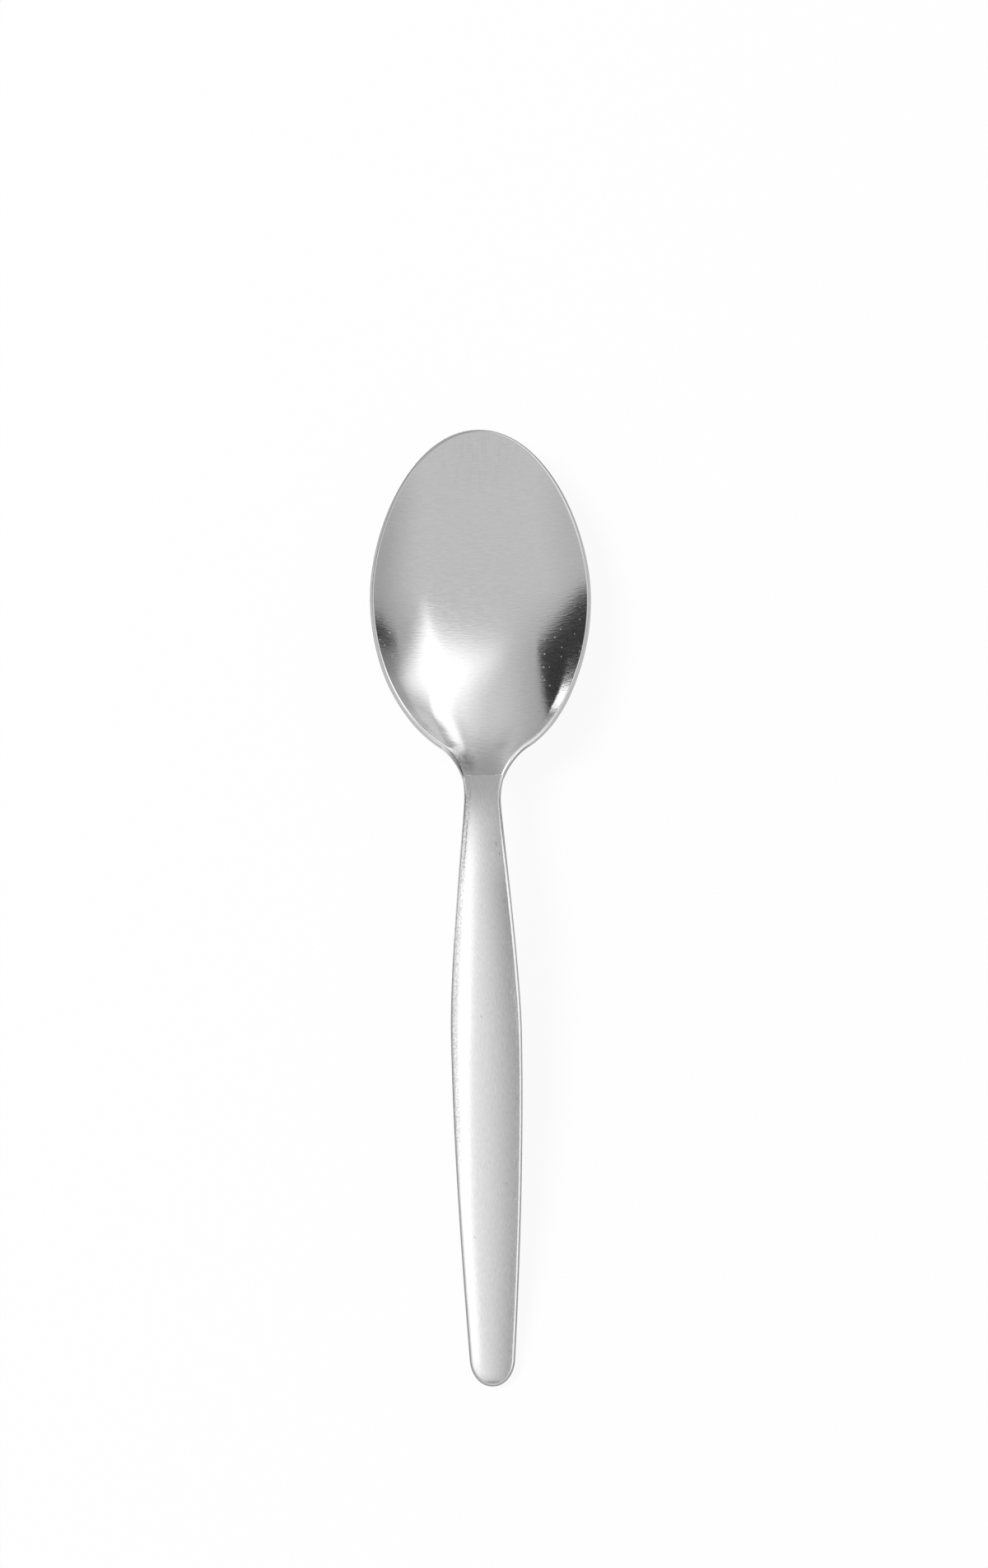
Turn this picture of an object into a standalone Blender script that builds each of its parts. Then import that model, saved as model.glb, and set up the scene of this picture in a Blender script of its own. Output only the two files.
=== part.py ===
"""A demitasse spoon, pressed in one piece from a blank of stainless-steel sheet.

The spoon lies as it rests on a table: +Z up, the bowl towards +Y, the handle towards -Y.
The origin is at the middle of its footprint, on the table.
"""

import math

import bmesh
import bpy
from mathutils import Vector
from mathutils.geometry import interpolate_bezier

MM = 0.001

# Driving dimensions of the blank's upper face, seen from above.
# A place is a distance along the spoon from the bowl's tip.
LENGTH = 110.0 * MM
MIDDLE_AT = 54.76 * MM
BOWL_WIDTH = 24.2 * MM
BOWL_WIDEST_AT = 19.7 * MM
NECK_WIDTH = 4.25 * MM
NECK_AT = 43.0 * MM
HANDLE_WIDTH = 8.2 * MM
HANDLE_WIDEST_AT = 71.7 * MM
END_WIDTH = 5.3 * MM
END_ROUND_LENGTH = 3.0 * MM
END_AT = LENGTH - END_ROUND_LENGTH

# Where the bowl's side turns into the neck, and how steeply the outline runs there and at the handle's end
FILLET_AT = 36.9 * MM
FILLET_HALF_WIDTH = 4.95 * MM
FILLET_SLOPE = -1.37
END_TAPER_SLOPE = -0.06

# Fullness of the outline's curves: how far each curve handle reaches, as a share of its stretch
BOWL_TIP_REACH = 0.60
BOWL_FRONT_REACH = 0.43
BOWL_REAR_REACH = 0.52
FILLET_ENTRY_REACH = 0.67
FILLET_REACH = 0.42
NECK_REACH = 0.20
FLARE_REACH = 0.40
TAPER_REACH = 0.38
QUARTER_ARC = 0.5523

# Driving dimensions of the pressing, seen from the side
SHEET = 1.1 * MM
EDGE_RADIUS = 0.4 * MM
BOWL_DEPTH = 4.8 * MM
BOWL_END_AT = 40.9 * MM
BOWL_END_SOFTNESS = 0.5 * MM
CROWN = 0.8 * MM
FOOT_FLAT = 0.1 * MM
RIM_HEIGHT = BOWL_DEPTH + SHEET - FOOT_FLAT
TIP_HEIGHT = RIM_HEIGHT - 0.4 * MM
NECK_HEIGHT = RIM_HEIGHT + 1.2 * MM
CREST_HEIGHT = RIM_HEIGHT + 2.3 * MM
CREST_AT = 55.0 * MM
END_HEIGHT = 1.35 * MM
RIM_SLOPE = 0.03
NECK_SLOPE = 0.10
END_SLOPE = -0.17

# Section of the bowl: a higher power makes a flatter floor and a steeper wall
WALL_POWER = 2.15
REAR_POWER = 2.2

# How much of the bowl's depth the rim itself goes down before the neck, and where that begins
RIM_DIP_SHARE = 0.7
RIM_DIP_FROM = 33.0 * MM

# The mesh
CURVE_STEPS = 9
LOOPS = 8
BORDER = 0.55 * MM
EDGE_SEGMENTS = 2
EDGE_ANGLE = math.radians(50)
MERGE_DISTANCE = 0.001 * MM

STEEL_COLOUR = (0.5, 0.5, 0.5, 1.0)
STEEL_ROUGHNESS = 0.28


def clear_scene():
    for obj in list(bpy.data.objects):
        bpy.data.objects.remove(obj)


def new_collection(name):
    collection = bpy.data.collections.new(name)
    bpy.context.scene.collection.children.link(collection)
    return collection


def knot(place, arriving, leaving):
    """A knot of the outline, with the two curve handles that stand off it."""
    place = Vector(place)
    return place, place + Vector(arriving), place + Vector(leaving)


def outline_knots():
    """Knots of the half outline from the bowl's tip to the handle's end, as places and half widths."""
    fillet_way = Vector((1, FILLET_SLOPE)).normalized()
    taper_way = Vector((1, END_TAPER_SLOPE))
    front = BOWL_WIDEST_AT * BOWL_FRONT_REACH
    rear = (FILLET_AT - BOWL_WIDEST_AT) * BOWL_REAR_REACH
    fillet = NECK_AT - FILLET_AT
    flare = HANDLE_WIDEST_AT - NECK_AT
    taper = (END_AT - HANDLE_WIDEST_AT) * TAPER_REACH
    end_round = END_ROUND_LENGTH * QUARTER_ARC
    return [
        knot((0, 0), (0, 0), (0, BOWL_WIDTH / 2 * BOWL_TIP_REACH)),
        knot((BOWL_WIDEST_AT, BOWL_WIDTH / 2), (-front, 0), (rear, 0)),
        knot(
            (FILLET_AT, FILLET_HALF_WIDTH),
            -fillet_way * fillet * FILLET_ENTRY_REACH,
            fillet_way * fillet * FILLET_REACH,
        ),
        knot((NECK_AT, NECK_WIDTH / 2), (-fillet * FILLET_REACH, 0), (flare * NECK_REACH, 0)),
        knot((HANDLE_WIDEST_AT, HANDLE_WIDTH / 2), (-flare * FLARE_REACH, 0), (taper, 0)),
        knot((END_AT, END_WIDTH / 2), -taper_way * taper, taper_way * end_round),
        knot((LENGTH, 0), (0, END_WIDTH / 2 * QUARTER_ARC), (0, 0)),
    ]


def half_outline():
    """Points of the half outline, each a place along the spoon and a half width."""
    knots = outline_knots()
    points = [knots[0][0]]
    for (start, _, leaving), (end, arriving, _) in zip(knots, knots[1:]):
        points += interpolate_bezier(start, leaving, arriving, end, CURVE_STEPS + 1)[1:]
    return points


def hermite(at, start, end):
    """Height on the smooth curve between two knots, each a place, a height and a slope."""
    x0, h0, m0 = start
    x1, h1, m1 = end
    span = x1 - x0
    t = (at - x0) / span
    return (
        (1 + 2 * t) * (1 - t) ** 2 * h0
        + t * (1 - t) ** 2 * span * m0
        + t * t * (3 - 2 * t) * h1
        + t * t * (t - 1) * span * m1
    )


def line_height(at):
    """Height of the upper face along the spoon's middle, before the bowl is pressed into it."""
    knots = [
        (0, TIP_HEIGHT, 0),
        (BOWL_WIDEST_AT, RIM_HEIGHT, RIM_SLOPE),
        (BOWL_END_AT, NECK_HEIGHT, NECK_SLOPE),
        (CREST_AT, CREST_HEIGHT, 0),
        (LENGTH, END_HEIGHT, END_SLOPE),
    ]
    stretch = 0
    while at > knots[stretch + 1][0] and stretch < len(knots) - 2:
        stretch += 1
    return hermite(at, knots[stretch], knots[stretch + 1])


def bowl_depth(at):
    """Depth of the bowl along its middle, fading softly into the neck."""
    reach = (at - BOWL_WIDEST_AT) / (BOWL_END_AT - BOWL_WIDEST_AT)
    depth = BOWL_DEPTH * (1 - reach**REAR_POWER)
    return (depth + math.hypot(depth, BOWL_END_SOFTNESS)) / 2


def rim_dip(at):
    """How far the rim goes down with the bowl's floor, just before the neck."""
    t = min(max((at - RIM_DIP_FROM) / (BOWL_END_AT - RIM_DIP_FROM), 0), 1)
    return bowl_depth(at) * RIM_DIP_SHARE * t * t * (3 - 2 * t)


def crown(at, half_width):
    """How far the handle's edges are pressed below its middle: less where it is narrower."""
    way = (at - BOWL_END_AT) / (HANDLE_WIDEST_AT - BOWL_END_AT)
    t = min(max(way, 0), 1)
    return CROWN * (2 * half_width / HANDLE_WIDTH) * t * t * (3 - 2 * t)


def loop_share(loop, reach):
    """How far a loop lies from the spine towards the rim: even steps, then a border of even width."""
    if loop == LOOPS:
        return 1
    return loop / (LOOPS - 1) * (1 - BORDER / reach)


def sheet_point(rim, loop):
    """A point of the pressed upper face, on one of the loops between the spoon's spine and its rim."""
    rim_at, half_width = rim
    spine_at = min(max(rim_at, BOWL_WIDEST_AT), END_AT)
    side_width = half_width if rim_at < END_AT else END_WIDTH / 2
    share = loop_share(loop, math.hypot(rim_at - spine_at, half_width))
    at = spine_at + share * (rim_at - spine_at)
    dip = rim_dip(spine_at)
    height = line_height(at) - dip
    height -= (bowl_depth(spine_at) - dip) * (1 - share**WALL_POWER)
    height -= crown(spine_at, side_width) * share**2
    return Vector((share * half_width, MIDDLE_AT - at, height))


def press_sheet():
    """The right half of the upper face: a flat grid, pressed to the spoon's shape."""
    rims = half_outline()
    stations = len(rims) - 1
    bm = bmesh.new()
    bmesh.ops.create_grid(bm, x_segments=stations, y_segments=LOOPS, size=1)
    for vert in bm.verts:
        station = round((vert.co.x + 1) / 2 * stations)
        loop = round((1 - vert.co.y) / 2 * LOOPS)
        vert.co = sheet_point(rims[station], loop)
    bmesh.ops.remove_doubles(bm, verts=bm.verts, dist=MERGE_DISTANCE)
    if sum(face.normal.z for face in bm.faces) < 0:
        bmesh.ops.reverse_faces(bm, faces=bm.faces)
    mesh = bpy.data.meshes.new("spoon")
    bm.to_mesh(mesh)
    bm.free()
    mesh.shade_smooth()
    return mesh


def steel():
    material = bpy.data.materials.new("stainless_steel")
    material.use_nodes = True
    shader = material.node_tree.nodes["Principled BSDF"]
    shader.inputs["Base Color"].default_value = STEEL_COLOUR
    shader.inputs["Metallic"].default_value = 1.0
    shader.inputs["Roughness"].default_value = STEEL_ROUGHNESS
    return material


def foot_cutter():
    """A block whose top takes a small flat foot off the underside of the bowl."""
    bm = bmesh.new()
    bmesh.ops.create_cube(bm, size=1)
    bmesh.ops.scale(bm, verts=bm.verts, vec=(BOWL_WIDTH, BOWL_WIDTH, SHEET))
    mesh = bpy.data.meshes.new("foot_cutter")
    bm.to_mesh(mesh)
    bm.free()
    cutter = bpy.data.objects.new("foot_cutter", mesh)
    cutter.location = (0, MIDDLE_AT - BOWL_WIDEST_AT, -SHEET / 2)
    cutter.hide_render = True
    cutter.display_type = "WIRE"
    return cutter


def build_spoon():
    """Half of the pressed face, mirrored, given the sheet's thickness, edges and foot."""
    mesh = press_sheet()
    mesh.materials.append(steel())
    spoon = bpy.data.objects.new("spoon", mesh)
    new_collection("demitasse_spoon").objects.link(spoon)
    cutter = foot_cutter()
    new_collection("cutters").objects.link(cutter)

    mirror = spoon.modifiers.new("other half", "MIRROR")
    mirror.merge_threshold = MERGE_DISTANCE
    sheet = spoon.modifiers.new("sheet thickness", "SOLIDIFY")
    sheet.thickness = SHEET
    sheet.offset = -1
    sheet.use_quality_normals = True
    edge = spoon.modifiers.new("rounded edge", "BEVEL")
    edge.width = EDGE_RADIUS
    edge.segments = EDGE_SEGMENTS
    edge.limit_method = "ANGLE"
    edge.angle_limit = EDGE_ANGLE
    foot = spoon.modifiers.new("flat foot", "BOOLEAN")
    foot.operation = "DIFFERENCE"
    foot.object = cutter


clear_scene()
build_spoon()
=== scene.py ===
"""The looks of a demitasse spoon: a finer pressing, brushed steel, a studio and a camera.

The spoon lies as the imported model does: +Z up, the bowl towards +Y, the handle towards -Y.
"""

import math

import bmesh
import bpy
import numpy as np
from mathutils import Matrix, Vector
from mathutils.geometry import interpolate_bezier


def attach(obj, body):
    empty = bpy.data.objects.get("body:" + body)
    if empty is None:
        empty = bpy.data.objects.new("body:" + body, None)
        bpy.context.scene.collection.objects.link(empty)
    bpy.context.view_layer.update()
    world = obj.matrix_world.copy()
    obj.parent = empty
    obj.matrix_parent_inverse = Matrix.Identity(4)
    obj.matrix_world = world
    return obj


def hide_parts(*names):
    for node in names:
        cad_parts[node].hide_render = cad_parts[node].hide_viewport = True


MM = 0.001

# Dimensions of the blank's upper face, seen from above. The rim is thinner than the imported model's,
# so the widths and curves differ a little from that model's, to give about the same outline.
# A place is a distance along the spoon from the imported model's tip.
LENGTH = 110.0 * MM
TIP_AT = -0.053 * MM
MIDDLE_AT = 54.76 * MM
BOWL_WIDTH = 24.66 * MM
BOWL_WIDEST_AT = 19.71 * MM
NECK_WIDTH = 4.19 * MM
NECK_AT = 43.55 * MM
HANDLE_WIDTH = 8.29 * MM
HANDLE_WIDEST_AT = 70.62 * MM
END_WIDTH = 5.35 * MM
END_ROUND_LENGTH = 3.0 * MM
END_AT = LENGTH - END_ROUND_LENGTH
FILLET_AT = 36.92 * MM
FILLET_HALF_WIDTH = 5.16 * MM
FILLET_SLOPE = -1.491
END_TAPER_SLOPE = -0.069

# Fullness of the outline's curves
BOWL_TIP_REACH = 0.608
BOWL_FRONT_REACH = 0.407
BOWL_REAR_REACH = 0.472
FILLET_ENTRY_REACH = 0.667
FILLET_REACH = 0.344
NECK_ENTRY_REACH = 0.482
NECK_REACH = 0.07
FLARE_REACH = 0.289
TAPER_REACH = 0.317
QUARTER_ARC = 0.5523

# Dimensions of the pressing, seen from the side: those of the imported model, apart from the crease
# and the place where the rim's dip begins
SHEET = 1.1 * MM
BOWL_DEPTH = 4.8 * MM
BOWL_END_AT = 40.9 * MM
CREASE = 0.06 * MM
CROWN = 0.8 * MM
FOOT_FLAT = 0.1 * MM
RIM_HEIGHT = BOWL_DEPTH + SHEET - FOOT_FLAT
TIP_HEIGHT = RIM_HEIGHT - 0.4 * MM
NECK_HEIGHT = RIM_HEIGHT + 1.2 * MM
CREST_HEIGHT = RIM_HEIGHT + 2.3 * MM
CREST_AT = 55.0 * MM
END_HEIGHT = 1.35 * MM
RIM_SLOPE = 0.03
NECK_SLOPE = 0.10
END_SLOPE = -0.17
WALL_POWER = 2.15
RIM_DIP_SHARE = 0.7
RIM_DIP_FROM = 34.5 * MM
REAR_POWER = 2.2

# How far the pressing leans to the right, in millimetres, at places along it in millimetres
SWAY = ((28, 0.0), (36.5, 0.19), (44.5, -0.12), (107, 0.1))

# The edge: the bowl's rim is ground thinner than the sheet, and tumbling rounds the handle's
RIM_SHEET = 0.70 * MM
RIM_UPPER_ROUND = 0.15 * MM
RIM_LOWER_ROUND = 0.24 * MM
HANDLE_UPPER_ROUND = 0.50 * MM
HANDLE_LOWER_ROUND = 0.50 * MM
RIM_ENDS_AT = 33.0 * MM
HANDLE_EDGE_FROM = 47.0 * MM
ROUND_STEPS = 6
EDGE_SUPPORT = 0.02 * MM
THINNING_POWER = 3.0

# The mesh
CURVE_STEPS = 28
RINGS = 26
BORDER = 1.0 * MM
MERGE_DISTANCE = 0.0001 * MM

# The steel's finish. Streaks are the sizes of the grain's noise across, along and up the spoon.
# A range is the part of a noise that is spread over the values beside it.
STEEL_SHADE = 0.50
ANISOTROPY = 0.9
BOWL_STREAK = (0.9 * MM, 0.15 * MM, 2.0 * MM)
HANDLE_STREAK = (0.11 * MM, 0.60 * MM, 2.0 * MM)
BOWL_TANGENT = (0, 1, 0)
HANDLE_TANGENT = (1, 0, 0)
NOISE_DETAIL = 2.0
GRAIN_RANGE = (0.3, 0.7)
GRAIN_MIDDLE = 0.5
GRAIN_HEIGHT = 0.006 * MM
BOWL_GRAIN_SHADE = 0.09
HANDLE_GRAIN_SHADE = 0.13
BOWL_ROUGHNESS = (0.09, 0.13)
HANDLE_ROUGHNESS = (0.13, 0.17)
EDGE_ROUGHNESS = 0.14
POLISH_LINE_AT = 40.75 * MM
POLISH_LINE_BLUR = 0.12 * MM
POLISH_LINE_WANDER = 0.35 * MM
POLISH_LINE_STREAK = (0.5 * MM, 5.0 * MM, 5.0 * MM)

# Wear, and painted highlight and shade on the lip. A shade is what a full mark adds to the steel's own.
# A stretch across or along the spoon, measured from its middle, leads from where a mark begins to where
# it is full.
LEFT_SIDE = (0.0, -1.0 * MM)
SPECK_SPACING = 0.7 * MM
SPECK_SIZE = 0.12 * MM
SPECK_CORE_SHARE = 0.6
SPECKED_SHARE = 0.5
SPECK_ROUGHNESS = 0.35
SPECKS_RIGHT = (2.0 * MM, 6.0 * MM)
SPECKS_LEFT = (-9.0 * MM, -10.5 * MM)
SPECKS_ALONG = (34.5 * MM, 33.0 * MM)
SCRATCH_SHADE = -0.025
SCRATCH_STREAK = (0.22 * MM, 3.0 * MM, 3.0 * MM)
SCRATCH_RANGE = (0.45, 0.65)
SCRATCHES_ALONG = (MIDDLE_AT - 7.0 * MM, MIDDLE_AT - 3.0 * MM)
SCRATCHES_ACROSS = (6.0 * MM, 2.0 * MM)
WORN_EDGE_SHADE = -0.15
WORN_EDGE_GRAIN = 0.2 * MM
WORN_EDGE_RANGE = (0.42, 0.62)
WORN_EDGE_BORDER = (0.1, 0.5)
WORN_EDGE_LOW_END = (-34.0 * MM, -26.0 * MM)
WORN_EDGE_HIGH_END = (14.0 * MM, 11.0 * MM)
# Painted highlight on the lip, beside the bowl's end and along its right, standing in for bright
# reflections there
LIP_HIGHLIGHT_SHADE = 0.22
LIP_HIGHLIGHT_LOW_END = (12.0 * MM, 15.0 * MM)
LIP_HIGHLIGHT_HIGH_END = (29.0 * MM, 26.0 * MM)
LIP_HIGHLIGHT_RIGHT = (7.0 * MM, 10.0 * MM)
LIP_HIGHLIGHT_RIGHT_SHARE = 0.35
UNHIGHLIGHTED_LEFT = (22.5 * MM, 20.0 * MM)
# Painted shade: a dark line on the lip at the left of the bowl's tip, standing in for a dark reflection
# there
TIP_LINE_SHADE = -0.2
TIP_LINE_ALONG = (50.0 * MM, 53.0 * MM)
TIP_LINE_ACROSS = (2.0 * MM, -1.0 * MM)

# The painted dark spot, painted shade at the left of the bowl's end that stands in for a darker
# reflection there: its place, turn and half sizes, how it fades out, and its blotches
PAINTED_SPOT_SHADE = -0.28
PAINTED_SPOT_PLACE = (-2.6 * MM, 15.85 * MM, 6.0 * MM)
PAINTED_SPOT_TURN = math.radians(27)
PAINTED_SPOT_SIZE = (2.1 * MM, 2.65 * MM, 6.0 * MM)
PAINTED_SPOT_FADE = (1.0, 0.2)
BLOTCH_SIZE = 0.5 * MM
BLOTCH_RANGE = (0.3, 0.7)
BLOTCH_DEPTH = (0.8, 1.2)

# Small marks of use, and one long painted dark line, each with its place on the spoon, half width
# and half length in millimetres, and its turn in degrees
MARK_AND_LINE_SHADE = -0.2
MARK_AND_LINE_FADE = (1.0, 0.5)
MARKS_AND_PAINTED_LINE = (
    (-1.70, -38.63, 0.09, 0.14, 40),
    (1.91, -32.66, 0.08, 0.12, 10),
    (-0.59, -14.06, 0.08, 0.16, 20),
    (3.35, -23.27, 0.07, 0.12, 0),
    (1.38, 5.73, 0.07, 0.35, 4),
    (1.74, 4.57, 0.07, 0.25, 8),
    # Painted shade, no mark of use: a long dark line along the handle's left edge, standing in for a
    # shaded band in its reflection
    (-2.10, 5.40, 0.10, 4.60, -5.2),
    (-2.20, 13.75, 0.12, 0.25, -60),
)

# The studio
WORLD_LIGHT = 0.5
FLOOR_SIZE = 6.0
FLOOR_DROP = 0.02 * MM
FLOOR_GLOW = 0.92
FLOOR_COLOUR = (0.9, 0.9, 0.9, 1.0)
KEY_PLACE = Vector((-1.1, 0.4, 1.5))
KEY_SIZE = 0.9
KEY_POWER = 26.0
CARD_STEPS = 24
SHAPED_CARD_CUTS = 7
FADE_ALL_ACROSS = (1, 0, 0, 0)

# Corners of the window's core and of its halo, as angles from straight above the bowl
BOWL_CENTRE = Vector((0, 35, 3)) * MM
WINDOW_CORE = ((20, 35), (30, 45), (45, 60), (40, 40), (35, 25))
WINDOW_HALO = ((-30, 25), (10, 55), (15, 75), (80, 60), (45, 15))

# Cards close over the handle, in millimetres. A row is a place along the spoon, then the card's
# stops across it.
HANDLE_LIGHT_ROWS = (
    (-82, -45, -14, 23.5),
    (-55, -45, -14, 24),
    (-40, -45, -12.5, 24.5),
    (-30, -45, -11, 22.5),
    (-20, -45, -9.3, 19.5),
    (-13, -45, -8, 16.4),
    (-7, -45, -6.7, 13.4),
    (1, -45, -5, 9),
    (10, -45, -5, 4),
    (18, -45, -5, 4),
)
HANDLE_CORE_ROWS = (
    (-70, -18, -7),
    (-40, -18, -7),
    (-30, -16, -6.1),
    (-20, -13.4, -5.1),
    (-13, -11.5, -4.2),
    (-7, -9.8, -3.4),
    (1, -7.2, -2.2),
    (10, -5, -1),
    (18, -5, -1),
)
HANDLE_EDGE_ROWS = (
    (-82, 16, 90),
    (-40, 16, 90),
    (-20, 13.5, 90),
    (-7, 10.5, 90),
    (1, 8, 90),
    (10, 6.5, 90),
    (20, 6.5, 90),
)

# The camera
CAMERA_TILT = math.radians(12)
CAMERA_ROLL = math.radians(0.856)
CAMERA_TARGET = Vector((1.240, 12.673, 7.689)) * MM
CAMERA_DISTANCE = 0.75
CAMERA_LENS = 151.67
CAMERA_SENSOR = 36.0


def knot(place, arriving, leaving):
    """A knot of the outline, with the two curve handles that stand off it."""
    place = Vector(place)
    return place, place + Vector(arriving), place + Vector(leaving)


def outline_knots():
    """Knots of the half outline, from the bowl's tip to the handle's end, as places and half widths."""
    fillet_way = Vector((1, FILLET_SLOPE)).normalized()
    taper_way = Vector((1, END_TAPER_SLOPE))
    front = BOWL_WIDEST_AT * BOWL_FRONT_REACH
    rear = (FILLET_AT - BOWL_WIDEST_AT) * BOWL_REAR_REACH
    fillet = NECK_AT - FILLET_AT
    flare = HANDLE_WIDEST_AT - NECK_AT
    taper = (END_AT - HANDLE_WIDEST_AT) * TAPER_REACH
    end_round = END_ROUND_LENGTH * QUARTER_ARC
    return [
        knot((TIP_AT, 0), (0, 0), (0, BOWL_WIDTH / 2 * BOWL_TIP_REACH)),
        knot((BOWL_WIDEST_AT, BOWL_WIDTH / 2), (-front, 0), (rear, 0)),
        knot(
            (FILLET_AT, FILLET_HALF_WIDTH),
            -fillet_way * fillet * FILLET_ENTRY_REACH,
            fillet_way * fillet * FILLET_REACH,
        ),
        knot((NECK_AT, NECK_WIDTH / 2), (-fillet * NECK_ENTRY_REACH, 0), (flare * NECK_REACH, 0)),
        knot((HANDLE_WIDEST_AT, HANDLE_WIDTH / 2), (-flare * FLARE_REACH, 0), (taper, 0)),
        knot((END_AT, END_WIDTH / 2), -taper_way * taper, taper_way * end_round),
        knot((LENGTH, 0), (0, END_WIDTH / 2 * QUARTER_ARC), (0, 0)),
    ]


def half_outline():
    """Points of the half outline, each a place along the spoon and a half width."""
    knots = outline_knots()
    points = [knots[0][0]]
    for (start, _, leaving), (end, arriving, _) in zip(knots, knots[1:]):
        points += interpolate_bezier(start, leaving, arriving, end, CURVE_STEPS + 1)[1:]
    for place in (BOWL_END_AT - CREASE, BOWL_END_AT, BOWL_END_AT + CREASE):
        after = next(i for i, point in enumerate(points) if point.x > place)
        before, beyond = points[after - 1], points[after]
        points.insert(after, before.lerp(beyond, (place - before.x) / (beyond.x - before.x)))
    return points


def eased(t):
    """A share between nought and one that starts and ends gently."""
    return t * t * (3 - 2 * t)


def hermite(at, start, end):
    """Height on the smooth curve between two knots, each a place, a height and a slope."""
    x0, h0, m0 = start
    x1, h1, m1 = end
    span = x1 - x0
    t = (at - x0) / span
    return (
        (1 + 2 * t) * (1 - t) ** 2 * h0
        + t * (1 - t) ** 2 * span * m0
        + t * t * (3 - 2 * t) * h1
        + t * t * (t - 1) * span * m1
    )


def line_height(at):
    """Height of the upper face along the spoon's middle, before the bowl is pressed into it."""
    knots = [
        (0, TIP_HEIGHT, 0),
        (BOWL_WIDEST_AT, RIM_HEIGHT, RIM_SLOPE),
        (BOWL_END_AT, NECK_HEIGHT, NECK_SLOPE),
        (CREST_AT, CREST_HEIGHT, 0),
        (LENGTH, END_HEIGHT, END_SLOPE),
    ]
    stretch = 0
    while at > knots[stretch + 1][0] and stretch < len(knots) - 2:
        stretch += 1
    return hermite(at, knots[stretch], knots[stretch + 1])


def bowl_depth(at):
    """Depth of the bowl along its middle, which ends in a crease at the neck."""
    reach = (at - BOWL_WIDEST_AT) / (BOWL_END_AT - BOWL_WIDEST_AT)
    return BOWL_DEPTH * max(1 - reach**REAR_POWER, 0)


def rim_dip(at):
    """How far the rim goes down with the bowl's floor, just before the neck."""
    t = min(max((at - RIM_DIP_FROM) / (BOWL_END_AT - RIM_DIP_FROM), 0), 1)
    return bowl_depth(at) * RIM_DIP_SHARE * t**3 * (10 - 15 * t + 6 * t * t)


def crown(at, half_width):
    """How far the handle's edges are pressed below its middle: less where it is narrower."""
    way = (at - BOWL_END_AT) / (HANDLE_WIDEST_AT - BOWL_END_AT)
    return CROWN * (2 * half_width / HANDLE_WIDTH) * eased(min(max(way, 0), 1))


def face_point(rim, share):
    """A point of the pressed upper face, at a share of the way from the spine to the rim."""
    rim_at, half_width = rim
    spine_at = min(max(rim_at, BOWL_WIDEST_AT), END_AT)
    side_width = half_width if rim_at < END_AT else END_WIDTH / 2
    at = spine_at + share * (rim_at - spine_at)
    dip = rim_dip(spine_at)
    height = line_height(at) - dip
    height -= (bowl_depth(spine_at) - dip) * (1 - share**WALL_POWER)
    height -= crown(spine_at, side_width) * share**2
    return share * half_width, MIDDLE_AT - at, height


def ring_share(rim, ring):
    """How far a ring lies from the spine to the rim: even steps up to a border of even width."""
    rim_at, half_width = rim
    spine_at = min(max(rim_at, BOWL_WIDEST_AT), END_AT)
    reach = math.hypot(rim_at - spine_at, half_width)
    return ring / RINGS * (1 - BORDER / reach)


def mirrored(row):
    """A row of points of the right half, closed to a ring by its mirror image on the left."""
    left = row[-2:0:-1] * np.array([-1, 1, 1])
    return np.concatenate([row, left])


def unit(vectors):
    return vectors / np.linalg.norm(vectors, axis=-1, keepdims=True)


def upper_rings():
    """Closed rings of the upper face from the spine to the border, and the ring of the rim.

    Each ring has one point per station of the outline.
    """
    rims = half_outline()
    rings = []
    for ring in range(RINGS + 1):
        points = [face_point(rim, ring_share(rim, ring)) for rim in rims]
        rings.append(mirrored(np.array(points)))
    rim_ring = mirrored(np.array([face_point(rim, 1.0) for rim in rims]))
    return np.array(rings), rim_ring


def ring_normals(rings):
    """Upward normals on a stack of rings, the first of which is the spine, folded on itself."""
    around = np.roll(rings, -1, axis=1) - np.roll(rings, 1, axis=1)
    across = np.gradient(rings, axis=0)
    normals = np.empty_like(rings)
    normals[1:] = unit(np.cross(across, around)[1:])
    normals[normals[..., 2] < 0] *= -1
    stations = rings.shape[1]
    opposite = -np.arange(stations) % stations
    spine = normals[1] + normals[1][opposite]
    for pole in (rings[0, 0], rings[0, stations // 2]):
        fan = np.linalg.norm(rings[0] - pole, axis=1) < MERGE_DISTANCE
        spine[fan] = spine[fan].mean(axis=0)
    normals[0] = unit(spine)
    return normals


def sway(places):
    """How far the pressing leans to one side at each place, since no pressing is quite straight."""
    knots, asides = np.array(SWAY).T * MM
    stretch = np.clip(np.searchsorted(knots, places) - 1, 0, len(knots) - 2)
    start, end = knots[stretch], knots[stretch + 1]
    t = np.clip((places - start) / (end - start), 0, 1)
    return asides[stretch] + (asides[stretch + 1] - asides[stretch]) * eased(t)


def along_edge(places, at_rim, at_handle):
    """A size that changes smoothly from the bowl's rim to the handle's edge, at each place."""
    t = np.clip((places - RIM_ENDS_AT) / (HANDLE_EDGE_FROM - RIM_ENDS_AT), 0, 1)
    return at_rim + (at_handle - at_rim) * eased(t)


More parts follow.
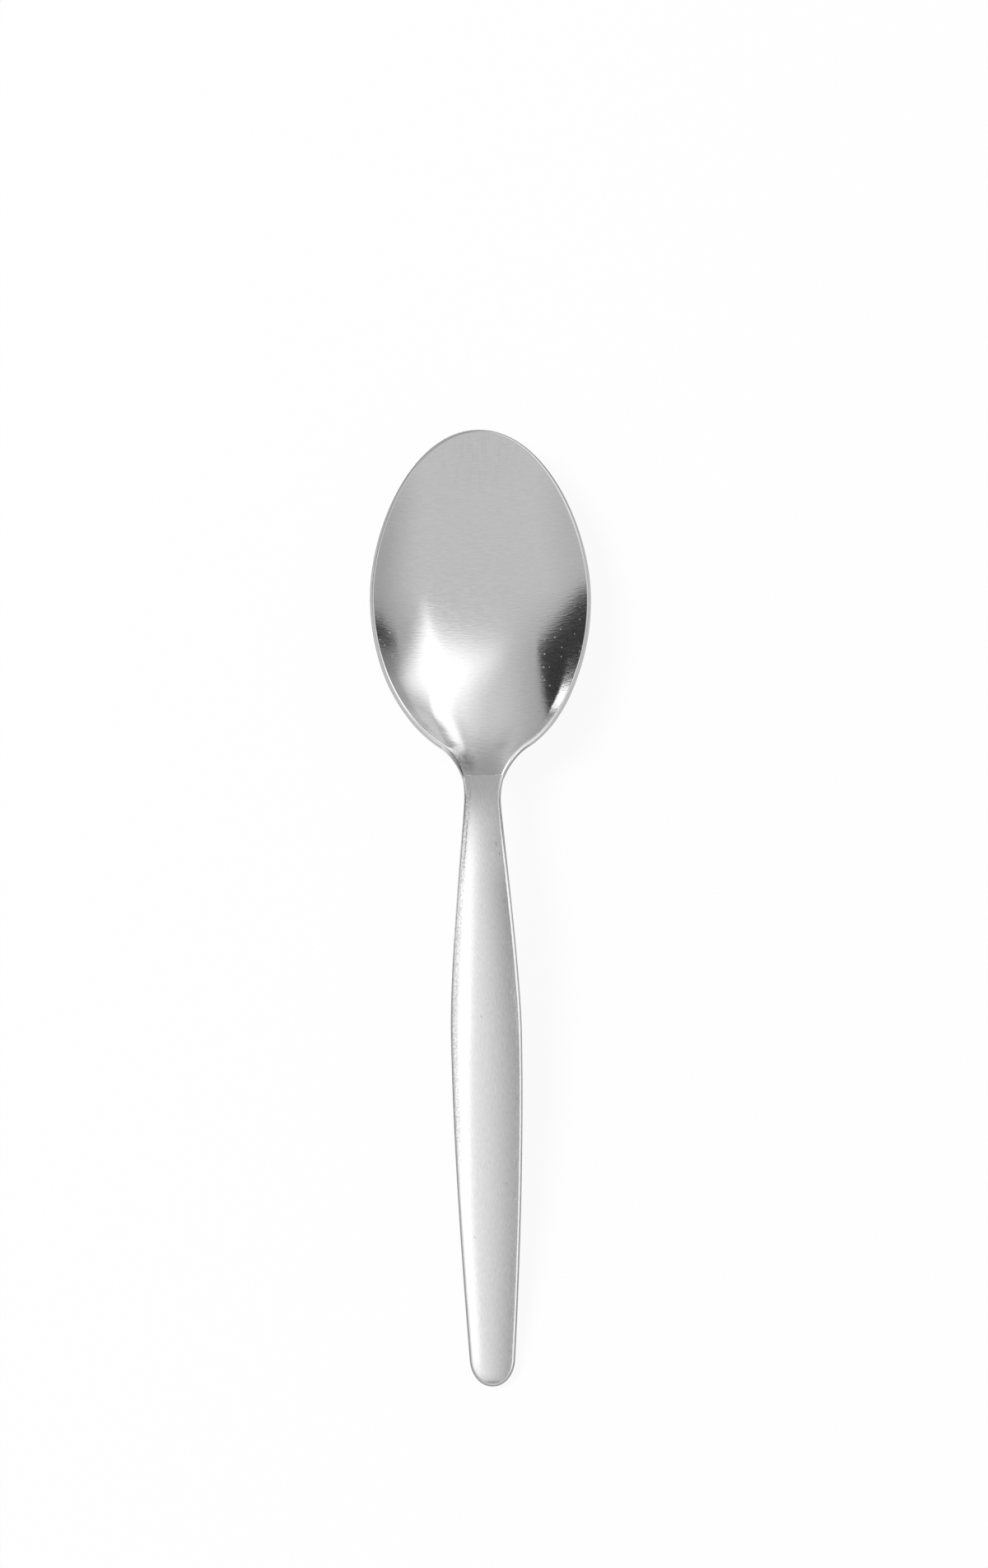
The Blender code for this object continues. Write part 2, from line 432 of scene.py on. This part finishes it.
def edge_profile(places):
    """The edge's section at each place: steps outwards from the rim and up from the upper face."""
    sheet = along_edge(places, RIM_SHEET, SHEET)
    upper = along_edge(places, RIM_UPPER_ROUND, HANDLE_UPPER_ROUND)
    lower = along_edge(places, RIM_LOWER_ROUND, HANDLE_LOWER_ROUND)
    steps = [(-upper - EDGE_SUPPORT, 0 * upper)]
    for turn in np.linspace(0, math.pi / 2, ROUND_STEPS + 1):
        steps.append((upper * (math.sin(turn) - 1), upper * (math.cos(turn) - 1)))
    steps.append((0 * upper, -upper - EDGE_SUPPORT))
    steps.append((0 * upper, lower + EDGE_SUPPORT - sheet))
    for turn in np.linspace(0, math.pi / 2, ROUND_STEPS + 1):
        steps.append((lower * (math.cos(turn) - 1), lower * (1 - math.sin(turn)) - sheet))
    steps.append((-lower - EDGE_SUPPORT, -sheet))
    return steps


def ring_mask(shape, first, last):
    """One on the rings from the first up to the last, which isn't counted, and nought elsewhere."""
    mask = np.zeros(shape)
    mask[first:last] = 1
    return mask


def solid_rings():
    """All rings of the solid, from the upper spine over the edge to the spine of the underside.

    Also gives each point's shares of the worked edge, the border and the lip, by their names, and
    the way the rim runs beside it.
    """
    rings, rim = upper_rings()
    normals = ring_normals(np.concatenate([rings, rim[None]]))
    rim_normal = normals[-1]
    along = unit(np.roll(rim, -1, axis=0) - np.roll(rim, 1, axis=0))
    outward = unit(np.cross(rim_normal, along))
    if ((rim - rings[0].mean(axis=0)) * outward).sum() < 0:
        outward = -outward
    places = MIDDLE_AT - rim[:, 1]
    edge = []
    for out, up in edge_profile(places):
        edge.append(rim + out[:, None] * outward + up[:, None] * rim_normal)
    share = np.linspace(0, 1, RINGS + 1)[:, None] ** THINNING_POWER
    sheet = SHEET + (along_edge(places, RIM_SHEET, SHEET) - SHEET) * share
    lower = rings - sheet[..., None] * normals[:-1]
    solid = np.concatenate([rings, np.array(edge), lower[::-1]])
    solid[..., 0] += sway(MIDDLE_AT - solid[..., 1])
    solid[..., 2] = np.maximum(solid[..., 2], 0)
    shape = solid.shape[:2]
    start, end = len(rings), len(rings) + len(edge)
    shares = {
        "edge": ring_mask(shape, start + 1, end - 1),
        "border": ring_mask(shape, start, end),
        "lip": ring_mask(shape, start + 1, start + ROUND_STEPS - 1),
    }
    return solid, shares, np.broadcast_to(along, solid.shape)


def ring_faces(ring_count, stations):
    """Faces between neighbouring rings, with each ring's points numbered on from the last."""
    faces = []
    for ring in range(ring_count - 1):
        for station in range(stations):
            after = (station + 1) % stations
            faces.append(
                (
                    ring * stations + station,
                    (ring + 1) * stations + station,
                    (ring + 1) * stations + after,
                    ring * stations + after,
                )
            )
    return faces


def spoon_mesh():
    """The spoon's mesh, with the points that coincide along both spines merged."""
    solid, shares, along = solid_rings()
    ring_count, stations, _ = solid.shape
    mesh = bpy.data.meshes.new("pressed_spoon")
    mesh.from_pydata(solid.reshape(-1, 3).tolist(), [], ring_faces(ring_count, stations))
    for name, share in shares.items():
        mesh.attributes.new(name, "FLOAT", "POINT").data.foreach_set("value", share.ravel())
    edge_way = mesh.attributes.new("edge_way", "FLOAT_VECTOR", "POINT")
    edge_way.data.foreach_set("vector", along.ravel())
    bm = bmesh.new()
    bm.from_mesh(mesh)
    bmesh.ops.remove_doubles(bm, verts=bm.verts, dist=MERGE_DISTANCE)
    bmesh.ops.dissolve_degenerate(bm, edges=bm.edges, dist=MERGE_DISTANCE)
    bmesh.ops.recalc_face_normals(bm, faces=bm.faces)
    crease = MIDDLE_AT - BOWL_END_AT
    for edge in bm.edges:
        edge.smooth = max(abs(vert.co.y - crease) for vert in edge.verts) > MERGE_DISTANCE
    bm.to_mesh(mesh)
    bm.free()
    mesh.shade_smooth()
    return mesh


def new_material(name):
    material = bpy.data.materials.new(name)
    material.use_nodes = True
    material.node_tree.nodes.clear()
    return material, material.node_tree


def add(tree, kind, inputs=None, **settings):
    """A shader node. Each input is a value to set, or a socket to link."""
    node = tree.nodes.new("ShaderNode" + kind)
    for name, value in settings.items():
        setattr(node, name, value)
    for name, value in (inputs or {}).items():
        if isinstance(value, bpy.types.NodeSocket):
            tree.links.new(value, node.inputs[name])
        else:
            node.inputs[name].default_value = value
    return node


def maths(tree, operation, *values):
    return add(tree, "Math", dict(enumerate(values)), operation=operation).outputs[0]


def ramp(tree, value, start, end, low=0.0, high=1.0, smooth=False):
    """A value led from the stretch start to end onto the stretch low to high, and held beyond it."""
    inputs = {"Value": value, "From Min": start, "From Max": end, "To Min": low, "To Max": high}
    kind = "SMOOTHSTEP" if smooth else "LINEAR"
    return add(tree, "MapRange", inputs, interpolation_type=kind).outputs["Result"]


def blend(tree, share, low, high):
    return add(tree, "Mix", {0: share, 2: low, 3: high}).outputs[0]


def blend_ways(tree, share, low, high):
    return add(tree, "Mix", {0: share, 4: low, 5: high}, data_type="VECTOR").outputs[1]


def noise(tree, place, sizes):
    """Noise whose grains have these sizes across, along and up the spoon."""
    scaled = add(tree, "Mapping", {"Vector": place, "Scale": [1 / size for size in sizes]})
    inputs = {"Vector": scaled.outputs[0], "Scale": 1.0, "Detail": NOISE_DETAIL}
    return add(tree, "TexNoise", inputs).outputs["Fac"]


def product(tree, first, *others):
    """All the values, multiplied."""
    for other in others:
        first = maths(tree, "MULTIPLY", first, other)
    return first


def attribute(tree, name):
    """A share that the mesh carries: of its worked edge, its border or its lip."""
    return add(tree, "Attribute", attribute_name=name).outputs["Fac"]


def across_and_along(tree, place):
    """How far a place lies to the right of the spoon's middle, and how far towards the bowl."""
    split = add(tree, "SeparateXYZ", {0: place}).outputs
    return split["X"], split["Y"]


def from_spot(tree, place, centre, turn, half_sizes):
    """How far a place is from the middle of an oval spot: one on the oval itself."""
    local = add(
        tree,
        "Mapping",
        {"Vector": place, "Location": centre, "Rotation": (0, 0, turn), "Scale": half_sizes},
        vector_type="TEXTURE",
    )
    return add(tree, "VectorMath", {0: local.outputs[0]}, operation="LENGTH").outputs["Value"]


def handle_share(tree, place):
    """One on the handle, nought in the bowl, whose polish ends on a slightly wandering line."""
    _, along = across_and_along(tree, place)
    wander = noise(tree, place, POLISH_LINE_STREAK)
    offset = maths(tree, "MULTIPLY_ADD", wander, POLISH_LINE_WANDER, -POLISH_LINE_WANDER / 2)
    line = MIDDLE_AT - POLISH_LINE_AT
    moved = maths(tree, "ADD", along, offset)
    return ramp(tree, moved, line + POLISH_LINE_BLUR, line - POLISH_LINE_BLUR)


def specks(tree, place):
    """Scattered specks towards the sides: small dots in some cells of a random grid."""
    scaled = add(tree, "Mapping", {"Vector": place, "Scale": [1 / SPECK_SPACING] * 3})
    cells = add(tree, "TexVoronoi", {"Vector": scaled.outputs[0], "Scale": 1.0})
    size = SPECK_SIZE / SPECK_SPACING
    dot = ramp(tree, cells.outputs["Distance"], size, SPECK_CORE_SHARE * size)
    lot = add(tree, "SeparateColor", {0: cells.outputs["Color"]}).outputs[0]
    chosen = maths(tree, "LESS_THAN", lot, SPECKED_SHARE)
    across, along = across_and_along(tree, place)
    right = ramp(tree, across, *SPECKS_RIGHT)
    sides = maths(tree, "MAXIMUM", right, ramp(tree, across, *SPECKS_LEFT))
    return product(tree, dot, chosen, sides, ramp(tree, along, *SPECKS_ALONG))


def marks_and_painted_line(tree, place):
    """One in the small nicks of use, and on the long painted dark line along the handle's left edge."""
    wear_and_paint = 0.0
    for x, y, half_width, half_length, turn in MARKS_AND_PAINTED_LINE:
        centre = (x * MM, y * MM, 0)
        half_sizes = (half_width * MM, half_length * MM, 1)
        far = from_spot(tree, place, centre, math.radians(turn), half_sizes)
        wear_and_paint = maths(tree, "MAXIMUM", wear_and_paint, ramp(tree, far, *MARK_AND_LINE_FADE))
    return wear_and_paint


def tip_scratches(tree, place):
    """Fine scratches that run along the spoon close to the bowl's tip."""
    across, along = across_and_along(tree, place)
    near = ramp(tree, along, *SCRATCHES_ALONG)
    middle = ramp(tree, maths(tree, "ABSOLUTE", across), *SCRATCHES_ACROSS)
    streak = ramp(tree, noise(tree, place, SCRATCH_STREAK), *SCRATCH_RANGE)
    return product(tree, near, middle, streak)


def painted_dark_spot(tree, place):
    """A soft painted dark spot at the left of the bowl's end: painted shade that stands in for a darker
    reflection there.
    """
    far = from_spot(tree, place, PAINTED_SPOT_PLACE, PAINTED_SPOT_TURN, PAINTED_SPOT_SIZE)
    spot = ramp(tree, far, *PAINTED_SPOT_FADE, smooth=True)
    blotch = ramp(tree, noise(tree, place, [BLOTCH_SIZE] * 3), *BLOTCH_RANGE, *BLOTCH_DEPTH)
    return product(tree, spot, blotch)


def worn_edge(tree, place):
    """Fine dark specks on the handle's left edge, which long use has left."""
    across, along = across_and_along(tree, place)
    border = ramp(tree, attribute(tree, "border"), *WORN_EDGE_BORDER)
    left = ramp(tree, across, *LEFT_SIDE)
    low_end = ramp(tree, along, *WORN_EDGE_LOW_END)
    high_end = ramp(tree, along, *WORN_EDGE_HIGH_END)
    grains = ramp(tree, noise(tree, place, [WORN_EDGE_GRAIN] * 3), *WORN_EDGE_RANGE)
    return product(tree, border, left, low_end, high_end, grains)


def painted_lip_highlight(tree, place):
    """How much painted highlight the lip gets, standing in for bright reflections: fully beside the
    bowl's end, less along its right.
    """
    across, along = across_and_along(tree, place)
    bowl_end = ramp(tree, along, *LIP_HIGHLIGHT_HIGH_END)
    right = ramp(tree, across, *LIP_HIGHLIGHT_RIGHT, high=LIP_HIGHLIGHT_RIGHT_SHARE)
    left = ramp(tree, across, *LEFT_SIDE)
    unhighlighted = product(tree, left, ramp(tree, along, *UNHIGHLIGHTED_LEFT))
    highlighted = maths(tree, "SUBTRACT", maths(tree, "MAXIMUM", bowl_end, right), unhighlighted)
    highlighted = maths(tree, "MAXIMUM", highlighted, 0.0)
    return product(tree, attribute(tree, "lip"), ramp(tree, along, *LIP_HIGHLIGHT_LOW_END), highlighted)


def painted_tip_line(tree, place):
    """One on the lip at the left of the bowl's tip, where a painted dark line stands in for a dark
    reflection.
    """
    across, along = across_and_along(tree, place)
    tip = ramp(tree, along, *TIP_LINE_ALONG)
    return product(tree, attribute(tree, "lip"), tip, ramp(tree, across, *TIP_LINE_ACROSS))


def steel_shade(tree, place, handle, grain):
    """How much light the steel mirrors, which varies with its grain, with signs of use, and with
    painted shade and highlights.
    """
    spread = blend(tree, handle, BOWL_GRAIN_SHADE, HANDLE_GRAIN_SHADE)
    shade = maths(tree, "SUBTRACT", grain, GRAIN_MIDDLE)
    shade = maths(tree, "MULTIPLY_ADD", shade, spread, STEEL_SHADE)
    # Besides signs of use, the painted dark spot, the painted highlight on the lip and the painted dark
    # tip line put painted shade and highlights into the steel's colour
    kinds = (
        (tip_scratches, SCRATCH_SHADE),
        (marks_and_painted_line, MARK_AND_LINE_SHADE),
        (worn_edge, WORN_EDGE_SHADE),
        (painted_dark_spot, PAINTED_SPOT_SHADE),
        (painted_lip_highlight, LIP_HIGHLIGHT_SHADE),
        (painted_tip_line, TIP_LINE_SHADE),
    )
    for wear_and_paint, change in kinds:
        shade = maths(tree, "MULTIPLY_ADD", wear_and_paint(tree, place), change, shade)
    return shade


def steel():
    """Stainless steel: brushed across the bowl and along the handle, with a worked edge, signs of use,
    and painted shade and highlights in its colour.
    """
    material, tree = new_material("stainless_steel")
    place = add(tree, "TexCoord").outputs["Object"]
    handle = handle_share(tree, place)
    edge = attribute(tree, "edge")
    edge_way = add(tree, "Attribute", attribute_name="edge_way").outputs["Vector"]

    bowl_grain = noise(tree, place, BOWL_STREAK)
    handle_grain = noise(tree, place, HANDLE_STREAK)
    grain = blend(tree, handle, bowl_grain, handle_grain)
    bowl_rough = ramp(tree, bowl_grain, *GRAIN_RANGE, *BOWL_ROUGHNESS)
    handle_rough = ramp(tree, handle_grain, *GRAIN_RANGE, *HANDLE_ROUGHNESS)
    rough = blend(tree, handle, bowl_rough, handle_rough)
    rough = maths(tree, "MULTIPLY_ADD", specks(tree, place), SPECK_ROUGHNESS, rough)
    rough = blend(tree, edge, rough, EDGE_ROUGHNESS)
    tangent = blend_ways(tree, handle, BOWL_TANGENT, HANDLE_TANGENT)
    tangent = blend_ways(tree, edge, tangent, edge_way)
    bump = add(tree, "Bump", {"Height": grain, "Strength": 1.0, "Distance": GRAIN_HEIGHT})
    shader = add(
        tree,
        "BsdfPrincipled",
        {
            "Base Color": steel_shade(tree, place, handle, grain),
            "Metallic": 1.0,
            "Roughness": rough,
            "Anisotropic": ANISOTROPY,
            "Tangent": tangent,
            "Normal": bump.outputs[0],
        },
    )
    add(tree, "OutputMaterial", {"Surface": shader.outputs[0]})
    return material


def build_spoon():
    mesh = spoon_mesh()
    mesh.materials.append(steel())
    spoon = bpy.data.objects.new("pressed_spoon", mesh)
    bpy.context.scene.collection.objects.link(spoon)
    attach(spoon, "root")
    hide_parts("spoon")
    return spoon


def studio_ray(tree):
    """One for the rays that see the studio: straight, mirrored in the steel, or through glass."""
    path = add(tree, "LightPath").outputs
    mirrored_too = maths(tree, "MAXIMUM", path["Is Camera Ray"], path["Is Glossy Ray"])
    return maths(tree, "MAXIMUM", mirrored_too, path["Is Transmission Ray"])


def white_world():
    world = bpy.data.worlds.new("studio")
    bpy.context.scene.world = world
    world.use_nodes = True
    world.cycles.sampling_method = "NONE"
    tree = world.node_tree
    tree.nodes.clear()
    strength = blend(tree, studio_ray(tree), WORLD_LIGHT, 1.0)
    background = add(tree, "Background", {"Color": (1, 1, 1, 1), "Strength": strength})
    add(tree, "OutputWorld", {"Surface": background.outputs[0]})


def floor():
    mesh = bpy.data.meshes.new("floor")
    half = FLOOR_SIZE / 2
    sides = ((-half, -half), (half, -half), (half, half), (-half, half))
    mesh.from_pydata([(*side, -FLOOR_DROP) for side in sides], [], [(0, 1, 2, 3)])
    material, tree = new_material("white_floor")
    material.cycles.emission_sampling = "NONE"
    paint = add(tree, "BsdfDiffuse", {"Color": FLOOR_COLOUR})
    glow = add(tree, "Emission")
    share = maths(tree, "MULTIPLY", studio_ray(tree), FLOOR_GLOW)
    mix = add(tree, "MixShader", {0: share, 1: paint.outputs[0], 2: glow.outputs[0]})
    add(tree, "OutputMaterial", {"Surface": mix.outputs[0]})
    mesh.materials.append(material)
    obj = bpy.data.objects.new("floor", mesh)
    bpy.context.scene.collection.objects.link(obj)


def card_material(name, strength, soft):
    """A glowing card whose sides fade out: soft gives each side's fade as a share of the card."""
    material, tree = new_material(name)
    glow = add(tree, "Emission", {"Strength": strength})
    clear = add(tree, "BsdfTransparent")
    split = add(tree, "SeparateXYZ", {0: add(tree, "TexCoord").outputs["UV"]}).outputs
    cover = 1.0
    sides = (("X", 0, 1), ("X", 1, -1), ("Y", 0, 1), ("Y", 1, -1))
    for (axis, start, way), fade in zip(sides, soft):
        if fade:
            risen = ramp(tree, split[axis], start, start + way * fade, smooth=True)
            cover = maths(tree, "MULTIPLY", cover, risen)
    mix = add(tree, "MixShader", {0: cover, 1: clear.outputs[0], 2: glow.outputs[0]})
    add(tree, "OutputMaterial", {"Surface": mix.outputs[0]})
    return material


def stage_card(mesh, strength, soft):
    """Puts a card in the studio, seen only in the steel."""
    mesh.materials.append(card_material(mesh.name, strength, soft))
    obj = bpy.data.objects.new(mesh.name, mesh)
    bpy.context.scene.collection.objects.link(obj)
    obj.visible_camera = False
    obj.visible_diffuse = False
    obj.visible_shadow = False


def card(name, place, strength, soft):
    """A four-sided card. place gives the point at two shares of its sides."""
    shares = [step / CARD_STEPS for step in range(CARD_STEPS + 1)]
    row = CARD_STEPS + 1
    faces = []
    for j in range(CARD_STEPS):
        for i in range(CARD_STEPS):
            first = j * row + i
            faces.append((first, first + 1, first + row + 1, first + row))
    mesh = bpy.data.meshes.new(name)
    mesh.from_pydata([tuple(place(u, v)) for v in shares for u in shares], [], faces)
    layer = mesh.uv_layers.new(name="card")
    for loop, corner in zip(mesh.loops, layer.data):
        corner.uv = (shares[loop.vertex_index % row], shares[loop.vertex_index // row])
    stage_card(mesh, strength, soft)


def shaped_card(name, inner, outer, strength, distance):
    """A card of any shape on the dome: full inside its inner corners, gone at its outer ones."""
    sides = len(inner)
    centre = [sum(values) / sides for values in zip(*inner)]
    bm = bmesh.new()
    layer = bm.loops.layers.uv.new("card")
    verts = [bm.verts.new((*angles, 0)) for angles in (*outer, *inner, centre)]
    for side in range(sides):
        after = (side + 1) % sides
        for corners in (
            (side, after, sides + after),
            (side, sides + after, sides + side),
            (sides + side, sides + after, 2 * sides),
        ):
            face = bm.faces.new([verts[corner] for corner in corners])
            for corner, loop in zip(corners, face.loops):
                loop[layer].uv = (0 if corner < sides else 1, 0.5)
    bmesh.ops.subdivide_edges(bm, edges=bm.edges, cuts=SHAPED_CARD_CUTS, use_grid_fill=True)
    for vert in bm.verts:
        vert.co = towards(vert.co.x, vert.co.y, distance)
    mesh = bpy.data.meshes.new(name)
    bm.to_mesh(mesh)
    bm.free()
    stage_card(mesh, strength, FADE_ALL_ACROSS)


def between(corners, u, v):
    """The point at two shares of the sides of four corners, which go round."""
    a, b, c, d = (Vector(corner) for corner in corners)
    return a.lerp(b, u).lerp(d.lerp(c, u), v)


def towards(x_angle, y_angle, distance):
    """The place that lies at these two angles from straight above the bowl."""
    zenith = math.radians(math.hypot(x_angle, y_angle))
    azimuth = math.atan2(y_angle, x_angle)
    level = math.sin(zenith)
    way = Vector((level * math.cos(azimuth), level * math.sin(azimuth), math.cos(zenith)))
    return BOWL_CENTRE + distance * way


def dome_card(name, angles, strength, soft, distance):
    """A four-sided card on the dome over the bowl, with its corners at these angles."""
    card(name, lambda u, v: towards(*between(angles, u, v), distance), strength, soft)


def level_card(name, across, along, height, strength, soft):
    """A level card between two stops across the spoon and two along it, in millimetres."""
    (left, right), (near, far) = across, along
    sides = ((left, near), (right, near), (right, far), (left, far))
    corners = [Vector((*side, height)) * MM for side in sides]
    card(name, lambda u, v: between(corners, u, v), strength, soft)


def row_card(name, rows, height, strength, soft):
    """A level card whose sides wander from row to row."""
    places = [row[0] for row in rows]

    def place(u, v):
        y = places[0] + v * (places[-1] - places[0])
        stops = [np.interp(y, places, column) for column in zip(*(row[1:] for row in rows))]
        x = np.interp(u, np.linspace(0, 1, len(stops)), stops)
        return Vector((x, y, height)) * MM

    card(name, place, strength, soft)


def room_cards():
    """The room that the bowl mirrors: darker ends, a backdrop, and a shaped white window's light."""
    dome_card(
        "left_end",
        ((45, -45), (95, -45), (95, 75), (45, 75)),
        strength=0.63,
        soft=(0.75, 0, 0.3, 0),
        distance=1.0,
    )
    dome_card(
        "right_end",
        ((-45, -45), (-95, -45), (-95, 75), (-45, 75)),
        strength=0.86,
        soft=(0.6, 0, 0.3, 0),
        distance=0.98,
    )
    dome_card(
        "backdrop",
        ((-100, 14), (100, 14), (100, 96), (-100, 96)),
        strength=0.64,
        soft=(0, 0, 0.25, 0),
        distance=0.95,
    )
    dome_card(
        "glow",
        ((-45, 15), (40, 15), (60, 85), (-75, 75)),
        strength=1.1,
        soft=(0.5, 0.4, 0.15, 0),
        distance=0.92,
    )
    shaped_card("window", WINDOW_CORE, WINDOW_HALO, strength=2.3, distance=0.9)
    dome_card(
        "blind",
        ((30, 35), (-20, 35), (15, 85), (20, 55)),
        strength=1.85,
        soft=(0.85, 0.95, 0.4, 0.1),
        distance=0.88,
    )


def near_things_cards():
    """Dark and bright things in front of the room, which the bowl mirrors close to its rim."""
    dome_card(
        "left_low",
        ((55, 35), (80, 30), (75, 65), (55, 60)),
        strength=0.33,
        soft=(0.95, 0.1, 0.1, 0.05),
        distance=0.86,
    )
    dome_card(
        "low_fill",
        ((41, 60), (61, 58), (63, 78), (43, 80)),
        strength=1.12,
        soft=(0.25, 0.3, 0.25, 0),
        distance=0.85,
    )
    dome_card(
        "dark_left",
        ((-41, 30), (-90, 12), (-97, 68), (-60, 70)),
        strength=0.06,
        soft=(0.02, 0, 0.03, 0.03),
        distance=0.84,
    )
    dome_card(
        "dark_right",
        ((61, 32), (84, 23), (84, 41), (63, 35)),
        strength=0.02,
        soft=(0.04, 0, 0.03, 0.03),
        distance=0.82,
    )
    dome_card(
        "small_light",
        ((-59, 62), (-64, 51), (-80, 57), (-72, 66)),
        strength=2.9,
        soft=(0.05, 0.05, 0.02, 0),
        distance=0.8,
    )
    dome_card(
        "far_end",
        ((-35, 55), (25, 55), (30, 100), (-35, 100)),
        strength=0.6,
        soft=(0.3, 0.2, 0.3, 0),
        distance=0.78,
    )


def handle_cards():
    """What the handle mirrors: a long light that wanes to the right, its core, and an edge light."""
    level_card(
        "handle_shade",
        across=(-50, 50),
        along=(-82, 18),
        height=19.2,
        strength=0.46,
        soft=(0.05, 0.05, 0.2, 0.05),
    )
    level_card(
        "neck_shade",
        across=(-20, 20),
        along=(1, 26),
        height=18.6,
        strength=0.76,
        soft=(0.2, 0.2, 0.3, 0.2),
    )
    row_card(
        "handle_light",
        HANDLE_LIGHT_ROWS,
        height=18,
        strength=1.6,
        soft=(0.1, 0.5, 0.2, 0.07),
    )
    row_card(
        "handle_core",
        HANDLE_CORE_ROWS,
        height=17.4,
        strength=2.2,
        soft=(0.35, 0.15, 0.2, 0.15),
    )
    row_card(
        "handle_edge_light",
        HANDLE_EDGE_ROWS,
        height=18,
        strength=1.9,
        soft=(0.02, 0.3, 0.2, 0.1),
    )


def edge_cards():
    """What the handle's edges and end mirror: a dark sheet standing in for the floor's shade, a lighter
    patch of it at the left, a light at the left, a band past the end.
    """
    # Painted shadow: a dark sheet just above the floor, seen only in the steel, standing in for the
    # floor's shade beside the spoon
    level_card(
        "floor_shade",
        across=(-30, 30),
        along=(-59.5, 72),
        height=0.02,
        strength=0.55,
        soft=(0.3, 0.3, 0.01, 0.1),
    )
    level_card(
        "end_line",
        across=(-20, 20),
        along=(-70, -68.4),
        height=17.2,
        strength=0.5,
        soft=(0.2, 0.2, 0, 0.1),
    )
    level_card(
        "end_band",
        across=(-40, 40),
        along=(-95, -70),
        height=17.2,
        strength=0.95,
        soft=(0.1, 0.1, 0.1, 0),
    )
    level_card(
        "left_floor",
        across=(-30, -1),
        along=(-7, 18),
        height=0.06,
        strength=1.35,
        soft=(0.3, 0.05, 0.3, 0.2),
    )
    level_card(
        "left_light",
        across=(-60, -14),
        along=(-6, 22),
        height=18.3,
        strength=1.8,
        soft=(0.1, 0.1, 0.3, 0.1),
    )


def key_lamp():
    lamp = bpy.data.lights.new("key", "AREA")
    lamp.shape = "DISK"
    lamp.size = KEY_SIZE
    lamp.energy = KEY_POWER
    obj = bpy.data.objects.new("key", lamp)
    bpy.context.scene.collection.objects.link(obj)
    obj.location = KEY_PLACE
    obj.rotation_mode = "QUATERNION"
    obj.rotation_quaternion = (-KEY_PLACE).to_track_quat("-Z", "Y")
    obj.visible_camera = False
    obj.visible_glossy = False


def camera():
    back = Vector((0, -math.sin(CAMERA_TILT), math.cos(CAMERA_TILT)))
    upright = Vector((0, math.cos(CAMERA_TILT), math.sin(CAMERA_TILT)))
    side = Vector((1, 0, 0))
    right = side * math.cos(CAMERA_ROLL) - upright * math.sin(CAMERA_ROLL)
    up = side * math.sin(CAMERA_ROLL) + upright * math.cos(CAMERA_ROLL)
    data = bpy.data.cameras.new("camera")
    data.lens = CAMERA_LENS
    data.sensor_width = CAMERA_SENSOR
    obj = bpy.data.objects.new("camera", data)
    bpy.context.scene.collection.objects.link(obj)
    turn = Matrix((right, up, back)).transposed()
    obj.matrix_world = Matrix.Translation(CAMERA_TARGET + CAMERA_DISTANCE * back) @ turn.to_4x4()
    bpy.context.scene.camera = obj


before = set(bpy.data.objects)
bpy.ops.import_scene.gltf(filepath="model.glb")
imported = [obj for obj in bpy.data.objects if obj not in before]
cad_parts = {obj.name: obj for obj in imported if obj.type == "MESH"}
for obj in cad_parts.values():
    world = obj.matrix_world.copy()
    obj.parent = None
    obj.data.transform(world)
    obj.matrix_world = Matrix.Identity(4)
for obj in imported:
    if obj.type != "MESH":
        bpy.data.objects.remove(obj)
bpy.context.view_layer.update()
bpy.context.scene.view_settings.view_transform = "Standard"
build_spoon()
white_world()
floor()
room_cards()
near_things_cards()
handle_cards()
edge_cards()
key_lamp()
camera()
